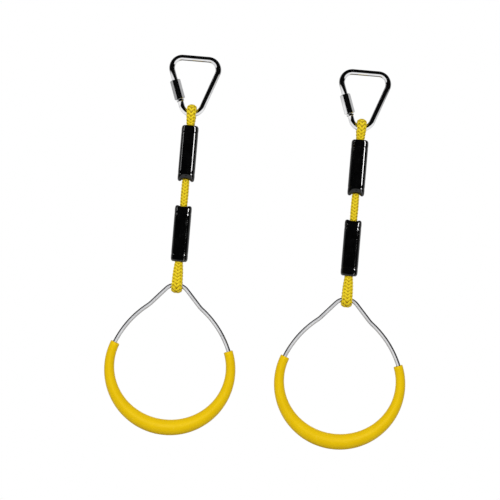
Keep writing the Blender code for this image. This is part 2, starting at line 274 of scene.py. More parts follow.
# Half the width and half the depth of each eye's flattened rope
UPPER_EYE = (0.0061, 0.0041)
LOWER_EYE = (0.0069, 0.0038)
EYE_CLEARANCE = 0.00015
MOUTH_HALF_WIDTH = 0.0050

# A strand goes once round the rope in one lay, and this many strands run each way
LAY_LENGTH = 0.032
STRANDS = 8
CELL = LAY_LENGTH / (2 * STRANDS)
STRAND_SIDES = 6
STRAND_HALF_WIDTH = 0.00126
STRAND_HALF_HEIGHT = 0.00052

# Shares of the rope's radius: a strand's middle, its rise and fall, and the core
STRAND_LEVEL = 0.79
STRAND_WAVE = 0.105
CORE_SHARE = 0.62
CORE_SIDES = 12
YARN_PER_METRE = 400.0
PATH_EVERY = 4


def arc(centre, radius, start, end, steps):
    """Points on an arc, both ends included."""
    turns = [start + (end - start) * i / steps for i in range(steps + 1)]
    return [(centre[0] + radius * math.cos(t), centre[1] + radius * math.sin(t)) for t in turns]


def flowing(points, steps):
    """A smooth curve through points of any size, with that many steps from one to the next."""
    count = len(points)
    before = [points[0], *points[:-1]]
    after = [*points[1:], points[-1]]
    slopes = [[(b - a) / 2 for a, b in zip(before[i], after[i])] for i in range(count)]
    path = []
    for i in range(count - 1):
        for step in range(steps):
            t = step / steps
            weights = (2 * t**3 - 3 * t**2 + 1, t**3 - 2 * t**2 + t, 3 * t**2 - 2 * t**3, t**3 - t**2)
            ends = zip(points[i], slopes[i], points[i + 1], slopes[i + 1])
            path.append(tuple(sum(w * v for w, v in zip(weights, four)) for four in ends))
    return [*path, points[-1]]


def eye(wire_radius, mouth, width, depth):
    """Half an eye, from the far side of its loop to the end of the pressed stretch.

    Each station is (offset, distance, half width, half depth, turn of the braid), and the distance runs
    from the wire's middle towards the tubes.
    """
    loop = wire_radius + EYE_CLEARANCE + depth
    lean = math.atan2(loop - MOUTH_OFFSET, mouth)
    ferrule = mouth + (SLEEVE_LENGTH - FERRULE_LENGTH) / 2
    path = [(y, d, width, depth, 0.0) for y, d in arc((0.0, 0.0), loop, -math.pi / 2, lean, 14)]
    legs = [
        path[-1],
        ((loop + MOUTH_OFFSET) / 2 + 0.0002, mouth * 0.52, width * 0.93, (depth + MOUTH_RADIUS) / 2, 0.0),
        (MOUTH_OFFSET, mouth, MOUTH_HALF_WIDTH, MOUTH_RADIUS, 0.0),
        (PRESSED_OFFSET, ferrule, PRESSED_RADIUS, PRESSED_RADIUS, 0.0),
    ]
    path += flowing(legs, 6)[1:]
    path.append((PRESSED_OFFSET, ferrule + FERRULE_LENGTH, PRESSED_RADIUS, PRESSED_RADIUS, 0.0))
    return path


def splice(wire_radius, mouth, width, depth):
    """A whole eye, from its tail round the wire and back to the middle of the rope."""
    half = eye(wire_radius, mouth, width, depth)
    ferrule_end = half[-1][1]
    sleeve_end = mouth + SLEEVE_LENGTH
    turn = math.pi / 4
    tail = (-PRESSED_OFFSET, ferrule_end + TAIL_LENGTH, PRESSED_RADIUS, PRESSED_RADIUS, turn)
    front = [(-y, d, w, h, turn) for y, d, w, h, _ in reversed(half[1:])]
    back = [(y, d, w, h, turn) for y, d, w, h, _ in half[:-1]]
    pressed_end = half[-1]
    lip = (0.0, sleeve_end - SLEEVE_LIP, ROPE_RADIUS, ROPE_RADIUS, 0.0)
    freed = ROPE_RADIUS + RUN_BULGE / 2
    onward = flowing([pressed_end, lip, (0.0, sleeve_end, freed, freed, 0.0)], 8)
    return [tail, *front, *back, *onward]


def evened(stations, step):
    """The stations again at even steps along their line, as rows of (y, z, half width, half depth, turn)."""
    rows = np.array(stations, float)
    lengths = np.linalg.norm(np.diff(rows[:, :2], axis=0), axis=1)
    along = np.concatenate([[0.0], np.cumsum(lengths)])
    count = int(round(along[-1] / step)) + 1
    at = np.linspace(0.0, along[-1], count)
    even = np.stack([np.interp(at, along, rows[:, k]) for k in range(rows.shape[1])], axis=1)
    # Rounds off the corners that straight pieces between the stations leave
    for _ in range(6):
        even[1:-1, :4] = 0.5 * even[1:-1, :4] + 0.25 * (even[:-2, :4] + even[2:, :4])
    # The braid's turn is spread over a longer stretch
    for _ in range(40):
        even[1:-1, 4] = 0.5 * even[1:-1, 4] + 0.25 * (even[:-2, 4] + even[2:, 4])
    return at, even


def braid(name, x, stations, from_start):
    """A rope of sixteen flat strands that pass over two and under two, round a core.

    The strands are counted from the end that meets the next piece: the start of the line, if from_start.
    """
    at, rows = evened(stations, CELL / 3)
    count = len(at)
    line = np.stack([np.full(count, x), rows[:, 0], rows[:, 1]], axis=1)
    run = np.gradient(line, axis=0)
    run /= np.linalg.norm(run, axis=1)[:, None]
    across = np.tile([1.0, 0.0, 0.0], (count, 1))
    up = np.cross(run, across)
    width, depth, turn = rows[:, 2], rows[:, 3], rows[:, 4]
    fullness = np.sqrt((width**2 + depth**2) / 2) / ROPE_RADIUS
    lay = at if from_start else at - at[-1]

    points, faces, along_uv, shade = [], [], [], []
    rng = np.random.default_rng(7)
    section = [math.tau * k / STRAND_SIDES for k in range(STRAND_SIDES)]

    def add_tube(rings, uv_start, lift):
        """Faces along these rings, with caps; lift says how far out each ring lies, from 0 to 1, and the
        yarn finish paints shade where it is low.
        """
        base = len(points)
        sides = rings.shape[1]
        points.extend(rings.reshape(-1, 3).tolist())
        for i in range(count - 1):
            for k in range(sides):
                a = base + i * sides + k
                b = base + i * sides + (k + 1) % sides
                faces.append((a, b, b + sides, a + sides))
                v0 = uv_start + at[i] * YARN_PER_METRE
                v1 = uv_start + at[i + 1] * YARN_PER_METRE
                u0 = k / sides
                u1 = (k + 1) / sides
                along_uv.extend([(u0, v0), (u1, v0), (u1, v1), (u0, v1)])
                shade.extend([lift[i], lift[i], lift[i + 1], lift[i + 1]])
        for ring, order in ((0, -1), (count - 1, 1)):
            cap = [base + ring * sides + k for k in range(sides)][::order]
            faces.append(tuple(cap))
            along_uv.extend([(0.5, uv_start)] * sides)
            shade.extend([0.0] * sides)

    for hand in (1, -1):
        for strand in range(STRANDS):
            angle = math.tau * strand / STRANDS + hand * math.tau * lay / LAY_LENGTH
            wave = -hand * np.sin(STRANDS / 2 * angle)
            height = STRAND_LEVEL + STRAND_WAVE * wave
            looks = angle + turn
            spoke = (width * np.cos(looks))[:, None] * across + (depth * np.sin(looks))[:, None] * up
            middle = line + height[:, None] * spoke
            outward = (depth * np.cos(looks))[:, None] * across + (width * np.sin(looks))[:, None] * up
            outward /= np.linalg.norm(outward, axis=1)[:, None]
            heading = np.gradient(middle, axis=0)
            heading /= np.linalg.norm(heading, axis=1)[:, None]
            side = np.cross(heading, outward)
            side /= np.linalg.norm(side, axis=1)[:, None]
            outward = np.cross(side, heading)
            half_width = STRAND_HALF_WIDTH * fullness
            half_height = STRAND_HALF_HEIGHT * fullness
            rings = np.stack(
                [
                    middle
                    + (half_width * math.cos(t))[:, None] * side
                    + (half_height * math.sin(t))[:, None] * outward
                    for t in section
                ],
                axis=1,
            )
            add_tube(rings, rng.random() * 50, 0.5 + 0.5 * wave)

    core_section = [math.tau * k / CORE_SIDES for k in range(CORE_SIDES)]
    core = np.stack(
        [
            line
            + CORE_SHARE
            * ((width * math.cos(t))[:, None] * across + (depth * math.sin(t))[:, None] * up)
            for t in core_section
        ],
        axis=1,
    )
    # The core lies under all the strands, so it gets the full painted shade
    add_tube(core, 0.0, np.zeros(count))

    mesh = bpy.data.meshes.new(name)
    mesh.from_pydata(points, [], faces)
    layer = mesh.uv_layers.new(name="strand")
    layer.data.foreach_set("uv", np.array(along_uv, np.float32).ravel())
    # Each corner's lift goes to the yarn finish, which paints shade where strands dip under
    cover = mesh.attributes.new("cover", "FLOAT", "CORNER")
    cover.data.foreach_set("value", np.array(shade, np.float32))
    rope = bpy.data.objects.new(name, mesh)
    bpy.context.scene.collection.objects.link(rope)
    tidy_mesh(rope, 180)
    path = line[::PATH_EVERY].tolist() + [line[-1].tolist()]
    return rope, path, float(at[-1])


def make_ropes(side, x):
    """The two braided pieces of one set, which meet face to face between the tubes."""
    upper = [
        (y, LINK_BOTTOM_Z - d, w, h, t)
        for y, d, w, h, t in splice(LINK_WIRE_RADIUS, UPPER_MOUTH, *UPPER_EYE)
    ]
    run_radius = ROPE_RADIUS + RUN_BULGE
    upper.append((0.0, MEETING_Z, run_radius, run_radius, 0.0))
    lower = [
        (y, APEX_Z + d, w, h, t)
        for y, d, w, h, t in reversed(splice(RING_WIRE_RADIUS, LOWER_MOUTH, *LOWER_EYE))
    ]
    lower.insert(0, (0.0, MEETING_Z, run_radius, run_radius, 0.0))
    top, top_line, top_length = braid(side + "_rope_over_link", x, upper, False)
    low, low_line, low_length = braid(side + "_rope_under_ring", x, lower, True)
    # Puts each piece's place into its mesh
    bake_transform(top)
    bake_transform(low)
    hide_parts(side + "_rope_upper", side + "_rope_middle")
    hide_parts(side + "_rope_lower")
    return top, low


# ---- link and nut


def link_corners():
    """(leg slope from vertical, middles of the top and bottom bends at +X) of the link's wire."""
    top = (LINK_WIDTH / 2 - LINK_TOP_BEND, LINK_WIRE_RADIUS - LINK_TOP_BEND)
    bottom = (0.0, LINK_BOTTOM_Z + LINK_BOTTOM_BEND)
    across, up = top[0] - bottom[0], top[1] - bottom[1]
    bends = LINK_BOTTOM_BEND - LINK_TOP_BEND
    slope = math.acos(bends / math.hypot(across, up)) - math.atan2(up, across)
    return slope, top, bottom


SLOPE, TOP_MIDDLE, BOTTOM_MIDDLE = link_corners()


def gate_leg(height):
    """The point at this height along the gate leg, measured up the wire from the bottom bend."""
    x = -LINK_BOTTOM_BEND * math.cos(SLOPE) - height * math.sin(SLOPE)
    z = BOTTOM_MIDDLE[1] - LINK_BOTTOM_BEND * math.sin(SLOPE) + height * math.cos(SLOPE)
    return (x, 0.0, z)


def thread(name, low, high):
    """A thread's ridge, wound up the gate leg from one height to the other."""
    set_down()
    bpy.ops.mesh.primitive_circle_add(vertices=4, radius=THREAD_PITCH / 2, rotation=(math.pi / 2, 0, 0))
    ridge = bpy.context.object
    ridge.name = ridge.data.name = name
    bpy.ops.object.transform_apply(location=True, rotation=True, scale=True)
    choose(ridge, lambda p: True)
    depth = THREAD_CREST - THREAD_ROOT
    bpy.ops.transform.resize(value=(2 * depth / THREAD_PITCH, 1, 0.94), center_override=(0, 0, 0))
    bpy.ops.transform.translate(value=(THREAD_ROOT, 0, 0))
    bpy.ops.object.mode_set(mode="OBJECT")
    apply_modifier(
        ridge,
        "SCREW",
        screw_offset=THREAD_PITCH,
        iterations=max(1, round((high - low) / THREAD_PITCH)),
        steps=28,
        render_steps=28,
        use_merge_vertices=False,
    )
    pick_up(ridge)
    bpy.ops.object.mode_set(mode="EDIT")
    bpy.ops.mesh.select_all(action="SELECT")
    bpy.ops.mesh.fill_holes(sides=4)
    bpy.ops.object.mode_set(mode="OBJECT")
    ridge.matrix_world = Matrix.Translation(gate_leg(low)) @ Matrix.Rotation(-SLOPE, 4, "Y")
    place_at_origin(ridge)
    return tidy_mesh(ridge, 30)


def make_link():
    """The bent wire, from the upper stub over the top and round the bottom to the collar and lower stub."""
    body = LINK_WIRE_RADIUS
    upper_stub = STUB_TOP + GATE_GAP
    thread_top = NUT_BOTTOM + NUT_LENGTH - NUT_CHAMFER
    heading = (-math.sin(SLOPE), 0.0, math.cos(SLOPE))
    wire = Sweep("left_link_wire", gate_leg(upper_stub), THREAD_ROOT - STUB_CHAMFER, 32, heading)
    wire.run(gate_leg(upper_stub + STUB_CHAMFER), THREAD_ROOT)
    wire.run(gate_leg(thread_top - 0.0012), THREAD_ROOT)
    wire.run(gate_leg(thread_top - 0.0004), body - 0.00015)
    wire.run(gate_leg(thread_top), body)
    leg_end = (
        -TOP_MIDDLE[0] + LINK_TOP_BEND * math.cos(math.pi + SLOPE),
        0.0,
        TOP_MIDDLE[1] + LINK_TOP_BEND * math.sin(math.pi + SLOPE),
    )
    wire.run(leg_end)
    wire.bend((-TOP_MIDDLE[0], 0.0, TOP_MIDDLE[1]), -(math.pi / 2 + SLOPE), 24)
    wire.run((TOP_MIDDLE[0], 0.0, LINK_WIRE_RADIUS))
    wire.bend((TOP_MIDDLE[0], 0.0, TOP_MIDDLE[1]), -(math.pi / 2 + SLOPE), 24)
    foot = BOTTOM_MIDDLE[1] - LINK_BOTTOM_BEND * math.sin(SLOPE)
    wire.run((LINK_BOTTOM_BEND * math.cos(SLOPE), 0.0, foot))
    wire.bend((0.0, 0.0, BOTTOM_MIDDLE[1]), -(math.pi - 2 * SLOPE), 32)
    collar = SHOULDER_HEIGHT + SHOULDER_LENGTH
    wire.run(gate_leg(SHOULDER_HEIGHT - 0.0003), body)
    wire.run(gate_leg(SHOULDER_HEIGHT), body + 0.00012)
    wire.run(gate_leg(SHOULDER_HEIGHT + 0.00005), SHOULDER_RADIUS - COLLAR_EDGE)
    wire.run(gate_leg(SHOULDER_HEIGHT + COLLAR_ROUNDING), SHOULDER_RADIUS)
    wire.run(gate_leg(collar - COLLAR_ROUNDING), SHOULDER_RADIUS)
    wire.run(gate_leg(collar - 0.00005), SHOULDER_RADIUS - COLLAR_EDGE)
    wire.run(gate_leg(collar), THREAD_ROOT + 0.0001)
    wire.run(gate_leg(collar + 0.0001), THREAD_ROOT)
    wire.run(gate_leg(STUB_TOP - 0.0006), THREAD_ROOT)
    wire.run(gate_leg(STUB_TOP), THREAD_ROOT - 0.0005)
    link = wire.end(38)
    lower = thread("lower_thread", collar + 0.0004, STUB_TOP - 0.0009)
    upper = thread("upper_thread", upper_stub + 0.0009, thread_top - 0.0015)
    join(link, lower, upper)
    return link


def make_nut():
    """The hexagonal nut: its corners are turned off at both ends, and its bore is opened at the mouths."""
    set_down()
    corner = NUT_FLAT / math.cos(math.pi / 6)
    bpy.ops.mesh.primitive_cylinder_add(vertices=6, radius=corner, depth=NUT_LENGTH)
    nut = bpy.context.object
    nut.name = nut.data.name = "left_gate_nut"
    bpy.ops.transform.rotate(value=math.pi / 6, orient_axis="Z", center_override=(0, 0, 0))
    bpy.ops.object.transform_apply(location=True, rotation=True, scale=True)
    apply_modifier(
        nut, "BEVEL", width=0.00035, segments=3, limit_method="ANGLE", angle_limit=math.radians(50)
    )

    half = NUT_LENGTH / 2
    face = NUT_FLAT - 0.0002
    past_corner = corner + 0.0004
    turning = Sweep("turning", (0, 0, -half), face, 96, (0, 0, 1))
    turning.run((0, 0, NUT_CHAMFER - half), past_corner)
    turning.run((0, 0, half - NUT_CHAMFER), past_corner)
    turning.run((0, 0, half), face)
    turning_piece = turning.end()
    flare = 0.0006
    past_end = half + 0.001
    open_end = NUT_BORE + 0.0015
    bore = Sweep("bore", (0, 0, -past_end), open_end, 48, (0, 0, 1))
    bore.run((0, 0, -half), NUT_BORE + flare)
    bore.run((0, 0, flare - half), NUT_BORE)
    bore.run((0, 0, half - flare), NUT_BORE)
    bore.run((0, 0, half), NUT_BORE + flare)
    bore.run((0, 0, past_end), open_end)
    bore_piece = bore.end()
    apply_modifier(nut, "BOOLEAN", operation="INTERSECT", object=turning_piece, solver="EXACT")
    apply_modifier(nut, "BOOLEAN", operation="DIFFERENCE", object=bore_piece, solver="EXACT")
    for cutter in (turning_piece, bore_piece):
        pick_up(cutter)
        bpy.ops.object.delete()
    middle = Matrix.Translation(gate_leg(NUT_BOTTOM + half))
    nut.matrix_world = middle @ Matrix.Rotation(-SLOPE, 4, "Y")
    place_at_origin(nut)
    return tidy_mesh(nut, 25)


# ---- sleeves


def make_sleeve(name, eye_end, rope_end, pinch):
    """A shrunk tube over the pressed rope: drawn in to an oval at the eye, and pinched at its other end."""
    down = 1 if rope_end > eye_end else -1
    outer, bore = SLEEVE_RADIUS, SLEEVE_BORE
    sides = 40
    # Half widths across and deep, and the distance from the eye end
    stations = [
        (bore, bore, 0.0645),
        (bore, bore, 0.0560),
        (bore, bore, 0.0125),
        (bore - 0.0002, bore, 0.0050),
        (0.0078, bore, 0.0018),
        (0.0072, bore - 0.0001, 0.0007),
        (0.0073, bore + 0.0001, 0.0001),
        (0.0078, 0.0092, 0.0),
        (0.0086, 0.0097, 0.0002),
        (0.0094, 0.0101, 0.0008),
        (0.01005, 0.01036, 0.0019),
        (outer - 0.00008, outer - 0.00002, 0.0034),
        (outer, outer, 0.0052),
        (outer, outer, 0.0076),
        (outer - 0.00004, outer - 0.00004, 0.0083),
        (outer - 0.00017, outer - 0.00017, 0.0090),
        (outer - 0.00015, outer - 0.00015, 0.0097),
        (outer - 0.00004, outer - 0.00004, 0.0106),
        (outer, outer, 0.0118),
        (outer, outer, 0.0220),
        (outer, outer, 0.0340),
        (outer, outer, 0.0460),
        (outer, outer, 0.0565),
        (outer - 0.00004, outer - 0.00004, 0.0577),
        (outer - 0.00016, outer - 0.00016, 0.0585),
        (outer - 0.00017, outer - 0.00017, 0.0592),
        (outer - 0.00008, outer - 0.00010, 0.0600),
        (outer, outer - 0.00010 - 0.0001 * pinch, 0.0610),
        (outer, outer - 0.00010 - 0.0004 * pinch, 0.0630),
        (outer - 0.00005, outer - 0.0002 - 0.0012 * pinch, 0.0652),
        (outer - 0.00030, outer - 0.0005 - 0.0022 * pinch, 0.0668),
        (outer - 0.00090, outer - 0.0011 - 0.0028 * pinch, 0.0678),
        (outer - 0.00180, outer - 0.0020 - 0.0028 * pinch, 0.0684),
        (outer - 0.00300, outer - 0.0031 - 0.0021 * pinch, 0.0685),
        (0.0064, 0.0056, 0.0683),
        (0.0056, 0.0050, 0.0677),
        (0.0054, 0.00485, 0.0668),
        (0.0058, 0.0050, 0.0660),
        (0.0072, 0.0064, 0.0652),
        (bore, bore - 0.0016 * pinch, 0.0645),
    ]
    across, deep, far = stations[0]
    tube = Sweep(name, (0, 0, eye_end + down * far), across, sides, (0, 0, 1))
    for width, thick, distance in stations[1:]:
        tube.run((0, 0, eye_end + down * distance))
        ratio = (width / across, thick / deep, 1)
        bpy.ops.transform.resize(value=ratio, center_override=tube.middle)
        across, deep = width, thick
    sleeve = tube.end(180)
    # The front and the back of the rope end are nipped back between two soft lobes
    nip_depth = 0.0009
    nip_length = 0.0028
    nip_half_width = 0.0028
    near_end = rope_end - down * 0.0034
    for front in (1, -1):
        choose(
            sleeve,
            lambda p: (p.z - near_end) * down > 0 and abs(p.x) < nip_half_width and 0 < p.y * front < 0.01,
        )
        bpy.ops.transform.translate(
            value=(0, -front * nip_depth * pinch, -down * nip_length * pinch),
            use_proportional_edit=True,
            proportional_size=0.0056,
            proportional_edit_falloff="SMOOTH",
            use_proportional_connected=True,
        )
    set_down()
    apply_modifier(sleeve, "SUBSURF", levels=1, render_levels=1)
    return tidy_mesh(sleeve, 180)


# ---- ring wire, grip


def make_ring_wire():
    """The closed wire: a round bow, then the wide shoulder, the reversed neck and the apex on each side."""
    bow = (0.0, 0.0, RING_CENTRE_Z)
    wire = Sweep("left_ring_bow", (0.0, 0.0, RING_CENTRE_Z - RING_RADIUS), RING_WIRE_RADIUS, 24, (1, 0, 0))
    wire.bend(bow, HALF_SPAN, 48)
    heading = math.pi / 2 - BOW_END
    out = Vector((math.sin(heading), 0.0, math.cos(heading)))
    shoulder = wire.middle - SHOULDER_BEND * out
    wire.bend(shoulder, heading - SHOULDER_SLOPE, 16)
    neck_side = Vector((math.sin(SHOULDER_SLOPE), 0.0, math.cos(SHOULDER_SLOPE)))
    neck = wire.middle + NECK_BEND * neck_side
    wire.bend(neck, SHOULDER_SLOPE - NECK_SLOPE, 6)
    # What is left is straight up to the apex, and then the same again in reverse
    top = Vector((0.0, 0.0, APEX_Z - APEX_BEND))
    wire.run(top + APEX_BEND * Vector((math.sin(NECK_SLOPE), 0.0, math.cos(NECK_SLOPE))))
    wire.bend(top, 2 * NECK_SLOPE, 28)
    mirrored = Vector((-1.0, 1.0, 1.0))
    neck_start = neck - NECK_BEND * Vector((math.sin(NECK_SLOPE), 0.0, math.cos(NECK_SLOPE)))
    wire.run(neck_start * mirrored)
    wire.bend(neck * mirrored, SHOULDER_SLOPE - NECK_SLOPE, 6)
    wire.bend(shoulder * mirrored, heading - SHOULDER_SLOPE, 16)
    wire.bend(bow, HALF_SPAN, 48)
    return wire.end(60)


def grip_thickness(turn):
    """The grip's thickness at this angle from the bottom."""
    return GRIP_END_THICKNESS + GRIP_SWELL * math.cos(math.pi / 2 * turn / HALF_SPAN) ** 2


def on_bow(radius, turn):
    """The point this far from the bow's middle, at this angle from the bottom."""
    return Vector((radius * math.sin(turn), 0.0, RING_CENTRE_Z - radius * math.cos(turn)))


def make_grip():
    """The moulded grip: its outer side follows the bow, and it swells inwards towards the bottom."""
    bow = (0.0, 0.0, RING_CENTRE_Z)
    steps = 84
    turn = -HALF_SPAN
    heading = (math.cos(turn), 0.0, math.sin(turn))
    end_radius = GRIP_END_THICKNESS / 2
    way = RING_WIRE_RADIUS + 0.0003
    tangent = Vector(heading)
    start = on_bow(RING_RADIUS, turn) + GRIP_BORE_DEPTH * tangent
    grip = Sweep("left_soft_grip", start, way, 48, heading)
    grip.run(on_bow(RING_RADIUS, turn) + 0.0005 * tangent)
    grip.run(on_bow(RING_RADIUS, turn) + 0.0001 * tangent, way + 0.0001)
    grip.run(on_bow(RING_RADIUS, turn), way + GRIP_FLARE)
    middle = GRIP_OUTER_RADIUS - end_radius
    grip.run(on_bow(middle, turn), end_radius - GRIP_FLAT)
    grip.run(on_bow(middle, turn) + 0.00018 * tangent, end_radius - 0.00025)
    grip.run(on_bow(middle, turn) + GRIP_ROUNDING * tangent, end_radius)
    step = 2 * HALF_SPAN / steps
    lead = GRIP_ROUNDING / middle
    for i in range(1, steps):
        advance = step - lead if i == 1 else step
        grip.bend(bow, advance, 1)
        turn = -HALF_SPAN + step * i
        radius = grip_thickness(turn) / 2
        grip.shift(on_bow(GRIP_OUTER_RADIUS - radius, turn), radius)
    turn = HALF_SPAN
    tangent = Vector((math.cos(turn), 0.0, math.sin(turn)))
    grip.bend(bow, step - lead, 1)
    grip.shift(on_bow(middle, turn) - GRIP_ROUNDING * tangent, end_radius)
    grip.run(on_bow(middle, turn) - 0.00018 * tangent, end_radius - 0.00025)
    grip.run(on_bow(middle, turn), end_radius - GRIP_FLAT)
    grip.run(on_bow(RING_RADIUS, turn), way + GRIP_FLARE)
    grip.run(on_bow(RING_RADIUS, turn) - 0.0001 * tangent, way + 0.0001)
    grip.run(on_bow(RING_RADIUS, turn) - 0.0005 * tangent, way)
    grip.run(on_bow(RING_RADIUS, turn) - GRIP_BORE_DEPTH * tangent, way)
    return grip.end(50)


def copy_across(piece, name):
    """A copy of a left piece with its own mesh, set where the right one hangs."""
    pick_up(piece)
    bpy.ops.object.duplicate(linked=False)
    twin = bpy.context.object
    twin.name = twin.data.name = name
    bpy.ops.transform.translate(value=(SET_SPACING, 0, 0))
    bpy.ops.object.transform_apply(location=True, rotation=False, scale=False)
    return twin


# ---- finishes


def new_group(name, inputs, outputs):
    """An empty shader group with these sockets."""
    group = bpy.data.node_groups.new(name, "ShaderNodeTree")
    for label, kind, value in inputs:
        socket = group.interface.new_socket(label, in_out="INPUT", socket_type=kind)
        if value is not None:
            socket.default_value = value
    for label, kind in outputs:
        group.interface.new_socket(label, in_out="OUTPUT", socket_type=kind)
    return group, group.nodes.new("NodeGroupInput"), group.nodes.new("NodeGroupOutput")


def add(tree, kind, **settings):
    """A node of this kind, with these of its settings."""
    made = tree.nodes.new(kind)
    for key, value in settings.items():
        setattr(made, key, value)
    return made


def maths(tree, operation, first, second=None, third=None):
    """A Math node on sockets or numbers, and its result."""
    made = add(tree, "ShaderNodeMath", operation=operation)
    for slot, value in zip(made.inputs, (first, second, third)):
        if value is None:
            continue
        if isinstance(value, (int, float)):
            slot.default_value = value
        else:
            tree.links.new(value, slot)
    return made.outputs[0]


def ranged(tree, value, low, high, to_low, to_high):
    """The value carried from one range to another, and held inside it."""
    made = add(tree, "ShaderNodeMapRange")
    tree.links.new(value, made.inputs["Value"])
    for label, number in zip(("From Min", "From Max", "To Min", "To Max"), (low, high, to_low, to_high)):
        made.inputs[label].default_value = number
    return made.outputs[0]


def mixed(tree, factor, first, second):
    """A colour between two, each a socket or a plain colour."""
    made = add(tree, "ShaderNodeMix", data_type="RGBA")
    for slot, value in ((made.inputs[0], factor), (made.inputs[6], first), (made.inputs[7], second)):
        if isinstance(value, tuple):
            slot.default_value = (*value, 1.0)
        elif isinstance(value, (int, float)):
            slot.default_value = value
        else:
            tree.links.new(value, slot)
    return made.outputs[2]


def noise(tree, vector, scale, detail=3.0, roughness=0.5, stretch=None):
    """A noise pattern's value; stretch gives its scale, turn and place, in that order, as far as needed."""
    if stretch:
        mapping = add(tree, "ShaderNodeMapping")
        for label, value in zip(("Scale", "Rotation", "Location"), stretch):
            mapping.inputs[label].default_value = value
        tree.links.new(vector, mapping.inputs["Vector"])
        vector = mapping.outputs[0]
    made = add(tree, "ShaderNodeTexNoise")
    tree.links.new(vector, made.inputs["Vector"])
    made.inputs["Detail"].default_value = detail
    made.inputs["Roughness"].default_value = roughness
    if isinstance(scale, (int, float)):
        made.inputs["Scale"].default_value = scale
    else:
        tree.links.new(scale, made.inputs["Scale"])
    return made.outputs[0]


def handling_group():
    """Finger smudges, and short fine scratches in two directions."""
    group, entry, leave = new_group(
        "handling marks",
        [
            ("Vector", "NodeSocketVector", None),
            ("Smudge Scale", "NodeSocketFloat", 60.0),
            ("Scratch Scale", "NodeSocketFloat", 900.0),
        ],
        [("Smudge", "NodeSocketFloat"), ("Scratches", "NodeSocketFloat")],
    )
    vector, smudge_scale, scratch_scale = entry.outputs[:3]
    patches = noise(group, vector, smudge_scale, 5.0, 0.6)
    group.links.new(ranged(group, patches, 0.42, 0.68, 0.0, 1.0), leave.inputs[0])
    one = noise(group, vector, scratch_scale, 2.0, 0.5, ((1.0, 1.0, 0.05), (0.35, 0.5, 0.2)))
    crossing = ((0.06, 1.0, 1.0), (0.4, 1.0, 0.9), (0.31, 0.17, 0.23))
    two = noise(group, vector, scratch_scale, 2.0, 0.5, crossing)
    first = ranged(group, one, 0.66, 0.72, 0.0, 1.0)
    second = ranged(group, two, 0.67, 0.73, 0.0, 1.0)
    group.links.new(maths(group, "MAXIMUM", first, second), leave.inputs[1])
    return group


def grain_group():
    """A fine even grain with broader unevenness under it."""
    group, entry, leave = new_group(
        "moulded grain",
        [("Vector", "NodeSocketVector", None), ("Grain Scale", "NodeSocketFloat", 2500.0)],
        [("Height", "NodeSocketFloat"), ("Tone", "NodeSocketFloat")],
    )
    fine = noise(group, entry.outputs[0], entry.outputs[1], 2.0, 0.6)
    broad = noise(group, entry.outputs[0], maths(group, "MULTIPLY", entry.outputs[1], 0.025), 4.0, 0.55)
    height = maths(group, "MULTIPLY_ADD", broad, 0.25, maths(group, "MULTIPLY", fine, 0.4))
    group.links.new(height, leave.inputs[0])
    group.links.new(ranged(group, broad, 0.3, 0.7, 0.0, 1.0), leave.inputs[1])
    return group


def fibre_group():
    """The filaments that run along a strand of yarn, on its own UV map."""
    group, entry, leave = new_group(
        "yarn filaments",
        [("Vector", "NodeSocketVector", None), ("Filaments", "NodeSocketFloat", 18.0)],
        [("Height", "NodeSocketFloat"), ("Tone", "NodeSocketFloat"), ("Batch", "NodeSocketFloat")],
    )
    parts = add(group, "ShaderNodeSeparateXYZ")
    group.links.new(entry.outputs[0], parts.inputs[0])
    slanted = maths(group, "MULTIPLY_ADD", parts.outputs[1], 0.11, parts.outputs[0])
    joined = add(group, "ShaderNodeCombineXYZ")
    group.links.new(maths(group, "MULTIPLY", slanted, entry.outputs[1]), joined.inputs[0])
    group.links.new(maths(group, "MULTIPLY", parts.outputs[1], 0.9), joined.inputs[1])
    streaks = noise(group, joined.outputs[0], 1.0, 3.0, 0.65)
    group.links.new(streaks, leave.inputs[0])
    group.links.new(ranged(group, streaks, 0.35, 0.65, 0.0, 1.0), leave.inputs[1])
    batches = add(group, "ShaderNodeCombineXYZ")
    group.links.new(maths(group, "MULTIPLY", parts.outputs[1], 0.06), batches.inputs[1])
    batch = noise(group, batches.outputs[0], 1.0, 2.0, 0.5)
    group.links.new(ranged(group, batch, 0.35, 0.65, 0.0, 1.0), leave.inputs[2])
    return group


def finish_base(name):
    """A new material, with its tree and its shader."""
    made = bpy.data.materials.new(name)
    made.use_nodes = True
    tree = made.node_tree
    return made, tree, tree.nodes["Principled BSDF"]


def object_place(tree):
    """Each point's place on the object."""
    return add(tree, "ShaderNodeTexCoord").outputs["Object"]


def use_group(tree, group, vector, **values):
    """Places a group in a material, with its own values."""
    made = add(tree, "ShaderNodeGroup", node_tree=group)
    tree.links.new(vector, made.inputs["Vector"])
    for label, value in values.items():
        made.inputs[label.replace("_", " ")].default_value = value
    return made


def bump(tree, shader, height, strength, distance):
    """A bump from a height, into the shader's normal."""
    made = add(tree, "ShaderNodeBump")
    made.inputs["Strength"].default_value = strength
    made.inputs["Distance"].default_value = distance
    tree.links.new(height, made.inputs["Height"])
    tree.links.new(made.outputs[0], shader.inputs["Normal"])


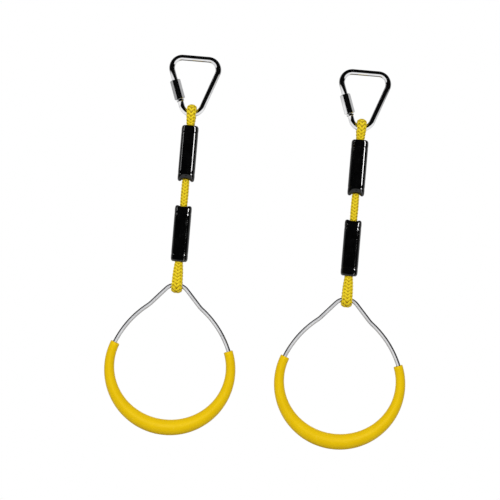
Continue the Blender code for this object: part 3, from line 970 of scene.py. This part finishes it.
def metal(name, groups, colours, roughness, edge, scratch, grain_scale, depth):
    """Metal: smudges dull it, scratches catch the light, and a fine grain lies under both."""
    made, tree, shader = finish_base(name)
    where = object_place(tree)
    clean, dull = colours
    marks = use_group(tree, groups["handling"], where, Smudge_Scale=70.0, Scratch_Scale=1400.0)
    grain = use_group(tree, groups["grain"], where, Grain_Scale=grain_scale)
    shade = mixed(tree, maths(tree, "MULTIPLY", marks.outputs["Smudge"], 0.6), clean, dull)
    scratched = maths(tree, "MULTIPLY", marks.outputs["Scratches"], scratch)
    tree.links.new(mixed(tree, scratched, shade, dull), shader.inputs["Base Color"])
    base = ranged(tree, marks.outputs["Smudge"], 0.0, 1.0, *roughness)
    uneven = maths(tree, "MULTIPLY_ADD", grain.outputs["Tone"], roughness[0] * 0.4, base)
    rough = maths(tree, "MULTIPLY_ADD", marks.outputs["Scratches"], 0.12, uneven)
    tree.links.new(rough, shader.inputs["Roughness"])
    shader.inputs["Metallic"].default_value = 1.0
    shader.inputs["Specular Tint"].default_value = (edge, edge, edge, 1.0)
    height = maths(tree, "MULTIPLY_ADD", marks.outputs["Scratches"], -0.4, grain.outputs["Height"])
    bump(tree, shader, height, 0.35, depth)
    return made


def cord_finish(name, groups):
    """Bright yellow filament yarn, with painted shade: darker and warmer where strands lie deep in the
    braid.
    """
    made, tree, shader = finish_base(name)
    strand = add(tree, "ShaderNodeUVMap", uv_map="strand")
    yarn = use_group(tree, groups["fibre"], strand.outputs[0], Filaments=16.0)
    shade_lift_node = add(tree, "ShaderNodeAttribute", attribute_name="cover")
    # Painted shade: the low strands, the core and the strand ends take this darker, warmer yellow
    deep = mixed(tree, yarn.outputs["Tone"], (0.20, 0.105, 0.0), (0.34, 0.20, 0.0))
    high = mixed(tree, yarn.outputs["Tone"], (0.84, 0.59, 0.002), (1.0, 0.80, 0.02))
    batch = mixed(tree, maths(tree, "MULTIPLY", yarn.outputs["Batch"], 0.35), high, (0.74, 0.50, 0.002))
    height = ranged(tree, shade_lift_node.outputs["Fac"], 0.06, 0.72, 0.0, 1.0)
    tree.links.new(mixed(tree, height, deep, batch), shader.inputs["Base Color"])
    rough = ranged(tree, yarn.outputs["Tone"], 0.0, 1.0, 0.66, 0.42)
    tree.links.new(rough, shader.inputs["Roughness"])
    shader.inputs["Specular IOR Level"].default_value = 0.5
    shader.inputs["Specular Tint"].default_value = (1.0, 0.9, 0.45, 1.0)
    shader.inputs["Sheen Weight"].default_value = 0.06
    shader.inputs["Sheen Roughness"].default_value = 0.4
    bump(tree, shader, yarn.outputs["Height"], 0.8, 0.00022)
    return made


def sleeve_finish(name, groups):
    """Glossy black shrunk tube, faintly drawn and handled."""
    made, tree, shader = finish_base(name)
    where = object_place(tree)
    marks = use_group(tree, groups["handling"], where, Smudge_Scale=90.0, Scratch_Scale=1000.0)
    grain = use_group(tree, groups["grain"], where, Grain_Scale=1600.0)
    smudged = maths(tree, "MULTIPLY", marks.outputs["Smudge"], 0.5)
    shade = mixed(tree, smudged, (0.0025, 0.0025, 0.0028), (0.009, 0.009, 0.0095))
    scratched = maths(tree, "MULTIPLY", marks.outputs["Scratches"], 0.2)
    tree.links.new(mixed(tree, scratched, shade, (0.04, 0.04, 0.04)), shader.inputs["Base Color"])
    base = ranged(tree, marks.outputs["Smudge"], 0.0, 1.0, 0.05, 0.12)
    rough = maths(tree, "MULTIPLY_ADD", marks.outputs["Scratches"], 0.15, base)
    tree.links.new(rough, shader.inputs["Roughness"])
    shader.inputs["Specular IOR Level"].default_value = 0.4
    drawn = noise(tree, where, 160.0, 3.0, 0.5, ((1.0, 1.0, 0.18), (0.0, 0.0, 0.0)))
    height = maths(tree, "MULTIPLY_ADD", grain.outputs["Height"], 0.2, drawn)
    bump(tree, shader, height, 0.2, 0.00005)
    return made


def grip_finish(name, groups):
    """Satin yellow plastic with a leathery grain, a little polished where hands hold it."""
    made, tree, shader = finish_base(name)
    where = object_place(tree)
    marks = use_group(tree, groups["handling"], where, Smudge_Scale=28.0, Scratch_Scale=700.0)
    grain = use_group(tree, groups["grain"], where, Grain_Scale=1900.0)
    shade = mixed(tree, grain.outputs["Tone"], (0.86, 0.555, 0.0), (0.90, 0.60, 0.001))
    smudged = maths(tree, "MULTIPLY", marks.outputs["Smudge"], 0.12)
    shade = mixed(tree, smudged, shade, (0.72, 0.44, 0.0))
    scratched = maths(tree, "MULTIPLY", marks.outputs["Scratches"], 0.16)
    tree.links.new(mixed(tree, scratched, shade, (0.96, 0.78, 0.12)), shader.inputs["Base Color"])
    base = ranged(tree, marks.outputs["Smudge"], 0.0, 1.0, 0.43, 0.35)
    rough = maths(tree, "MULTIPLY_ADD", grain.outputs["Tone"], 0.05, base)
    tree.links.new(rough, shader.inputs["Roughness"])
    shader.inputs["Specular IOR Level"].default_value = 0.36
    shader.inputs["Specular Tint"].default_value = (1.0, 0.85, 0.22, 1.0)
    pores = add(tree, "ShaderNodeTexVoronoi", feature="F1")
    tree.links.new(where, pores.inputs["Vector"])
    pores.inputs["Scale"].default_value = 1100.0
    dimples = ranged(tree, pores.outputs["Distance"], 0.0, 0.6, 0.0, 1.0)
    height = maths(tree, "MULTIPLY_ADD", dimples, 0.5, grain.outputs["Height"])
    bump(tree, shader, height, 0.14, 0.00018)
    return made


def make_finishes():
    """All the finishes, each under a short name; a metal's two colours are clean and dull."""
    groups = {"handling": handling_group(), "grain": grain_group(), "fibre": fibre_group()}
    chrome = ((0.87, 0.87, 0.88), (0.66, 0.66, 0.68))
    satin = ((0.50, 0.50, 0.51), (0.37, 0.37, 0.38))
    aluminium = ((0.82, 0.83, 0.84), (0.58, 0.59, 0.60))
    return {
        "link": metal("polished link steel", groups, chrome, (0.02, 0.06), 0.7, 0.35, 900.0, 0.000003),
        "ring": metal("bright ring wire", groups, satin, (0.12, 0.20), 0.2, 0.5, 3000.0, 0.00001),
        "crimp": metal("crimped aluminium", groups, aluminium, (0.30, 0.42), 0.8, 0.7, 1500.0, 0.0001),
        "rope": cord_finish("yellow filament yarn", groups),
        "sleeve": sleeve_finish("black shrunk tube", groups),
        "grip": grip_finish("yellow moulded grip", groups),
    }


def dress(piece, finish):
    """Gives the piece this finish only."""
    piece.data.materials.clear()
    piece.data.materials.append(finish)


# ---- studio


# The room's white on matt surfaces, and the least that a mirror sees
AMBIENT = 0.46
DARKEST = 0.003


def add_world():
    """White to the camera; pieces mirror a room that is dark in front, and light below and behind."""
    world = bpy.data.worlds.new("studio")
    bpy.context.scene.world = world
    world.use_nodes = True
    tree = world.node_tree
    tree.nodes.clear()
    out = add(tree, "ShaderNodeOutputWorld")
    ray = add(tree, "ShaderNodeLightPath")
    where = add(tree, "ShaderNodeTexCoord")
    parts = add(tree, "ShaderNodeSeparateXYZ")
    tree.links.new(where.outputs["Generated"], parts.inputs[0])
    rear = ranged(tree, parts.outputs[1], 0.25, 0.55, 0.0, 0.6)
    to_right = ranged(tree, parts.outputs[0], -0.3, 0.3, 0.75, 1.0)
    level = ranged(tree, maths(tree, "ABSOLUTE", parts.outputs[2]), 0.45, 0.7, 1.0, 0.0)
    behind = maths(tree, "MULTIPLY", maths(tree, "MULTIPLY", rear, to_right), level)
    in_front = ranged(tree, parts.outputs[1], -0.1, 0.25, 0.95, 0.0)
    beside = ranged(tree, maths(tree, "ABSOLUTE", parts.outputs[0]), 0.25, 0.5, 0.0, 0.95)
    low = ranged(tree, parts.outputs[2], -0.26, -0.18, 1.0, 0.0)
    below = maths(tree, "MULTIPLY", low, maths(tree, "MAXIMUM", in_front, beside))
    behind = maths(tree, "ADD", maths(tree, "MAXIMUM", behind, below), DARKEST)
    lit = maths(tree, "MULTIPLY", ray.outputs["Is Glossy Ray"], behind)
    matt = maths(tree, "MULTIPLY", maths(tree, "SUBTRACT", 1.0, ray.outputs["Is Glossy Ray"]), AMBIENT)
    strength = maths(tree, "ADD", lit, matt)
    full = maths(tree, "MAXIMUM", strength, ray.outputs["Is Camera Ray"])
    background = add(tree, "ShaderNodeBackground")
    background.inputs["Color"].default_value = (1.0, 1.0, 1.0, 1.0)
    tree.links.new(full, background.inputs["Strength"])
    tree.links.new(background.outputs[0], out.inputs[0])


def add_floor():
    """A plain pale floor, well below the rings."""
    set_down()
    bpy.ops.mesh.primitive_plane_add(size=60.0, location=(0.1, 0.0, -1.6))
    floor = bpy.context.object
    floor.name = floor.data.name = "pale_floor"
    paper = bpy.data.materials.new("pale paper")
    paper.use_nodes = True
    tree = paper.node_tree
    shader = tree.nodes["Principled BSDF"]
    shader.inputs["Base Color"].default_value = (0.9, 0.9, 0.9, 1.0)
    shader.inputs["Roughness"].default_value = 0.9
    ray = add(tree, "ShaderNodeLightPath")
    glow = add(tree, "ShaderNodeEmission")
    mix = add(tree, "ShaderNodeMixShader")
    tree.links.new(ray.outputs["Is Camera Ray"], mix.inputs[0])
    tree.links.new(shader.outputs[0], mix.inputs[1])
    tree.links.new(glow.outputs[0], mix.inputs[2])
    tree.links.new(mix.outputs[0], tree.nodes["Material Output"].inputs[0])
    dress(floor, paper)
    floor.visible_glossy = False


def add_lamp(name, direction, distance, size, radiance):
    """A soft rectangular lamp that faces the middle of the object."""
    aim = Vector((0.1038, 0.0, -0.2))
    lamp = bpy.data.lights.new(name, "AREA")
    lamp.shape = "RECTANGLE"
    lamp.size, lamp.size_y = size
    lamp.energy = radiance * math.pi * size[0] * size[1]
    holder = bpy.data.objects.new(name, lamp)
    holder.location = aim + distance * Vector(direction).normalized()
    holder.rotation_euler = (aim - holder.location).to_track_quat("-Z", "Y").to_euler()
    bpy.context.scene.collection.objects.link(holder)
    return holder


def shine_only_on(lamp, pieces):
    """Keeps a lamp's light to these pieces."""
    lit = bpy.data.collections.new(lamp.name + " pieces")
    for piece in pieces:
        lit.objects.link(piece)
    lamp.light_linking.receiver_collection = lit


def add_lamps(tubes, wires, matt):
    """Strips beside the tubes, a broad card before the ring wires, and a window before grips and ropes."""
    strips = [
        add_lamp("right strip", (0.951, -0.309, 0.325), 2.1, (0.38, 1.1), 42.0),
        add_lamp("right card", (0.951, -0.309, -0.27), 2.1, (0.30, 0.85), 5.0),
        add_lamp("left strip", (-0.995, 0.03, 0.325), 2.1, (0.2, 1.1), 8.0),
    ]
    for strip in strips:
        strip.visible_diffuse = False
        shine_only_on(strip, tubes)
    card = add_lamp("broad front card", (-0.1, -1.0, 0.22), 2.4, (4.0, 4.0), 1.15)
    shine_only_on(card, wires)
    window = add_lamp("front window", (-0.1, -0.9, 0.34), 2.4, (1.1, 1.7), 6.0)
    fill = add_lamp("rear fill", (0.15, 0.9, 0.35), 2.4, (1.4, 1.2), 3.0)
    fill.visible_glossy = False
    shine_only_on(window, matt)
    shine_only_on(fill, [*tubes, *matt])


# ---- the object


def main():
    """The camera and the ropes first, then the hard pieces, and last the room."""
    add_camera()
    ropes = [piece for side, x in SIDES for piece in make_ropes(side, x)]
    finishes = make_finishes()
    for rope in ropes:
        dress(rope, finishes["rope"])

    link = make_link()
    nut = make_nut()
    upper = make_sleeve("left_shrunk_tube_upper", UPPER_SLEEVE_TOP, UPPER_SLEEVE_END, 1.0)
    lower = make_sleeve("left_shrunk_tube_lower", LOWER_SLEEVE_END, LOWER_SLEEVE_TOP, 0.4)
    # Each piece, its name without the side, its finish, its body, its material slot and what it stands for
    made = [
        (link, "link_wire", "link", "link_body", "link_steel", "link"),
        (nut, "gate_nut", "link", "nut_body", "link_steel", "link_nut"),
        (upper, "shrunk_tube_upper", "sleeve", "upper_splice", "sleeve", "sleeve_upper"),
        (lower, "shrunk_tube_lower", "sleeve", "lower_splice", "sleeve", "sleeve_lower"),
        (make_ring_wire(), "ring_bow", "ring", "ring", "ring_steel", "ring_wire"),
        (make_grip(), "soft_grip", "grip", "ring", "grip", "grip"),
    ]
    for piece, name, finish, body, slot, node in made:
        dress(piece, finishes[finish])
        for side, twin in (("left", piece), ("right", copy_across(piece, "right_" + name))):
            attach(twin, side + "_" + body)
            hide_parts(side + "_" + node)
    for side, _ in SIDES:
        for node in ("ferrule_upper", "ferrule_lower"):
            dress(frame["nodes"][side + "_" + node], finishes["crimp"])

    add_world()
    add_floor()
    tubes = [piece for piece in bpy.data.objects if "shrunk_tube" in piece.name]
    wires = [piece for piece in bpy.data.objects if "ring_bow" in piece.name]
    matt = [piece for piece in bpy.data.objects if "grip" in piece.name or "rope" in piece.name]
    add_lamps(tubes, wires, matt)
    bpy.context.scene.view_settings.view_transform = "Standard"
    set_down()


main()
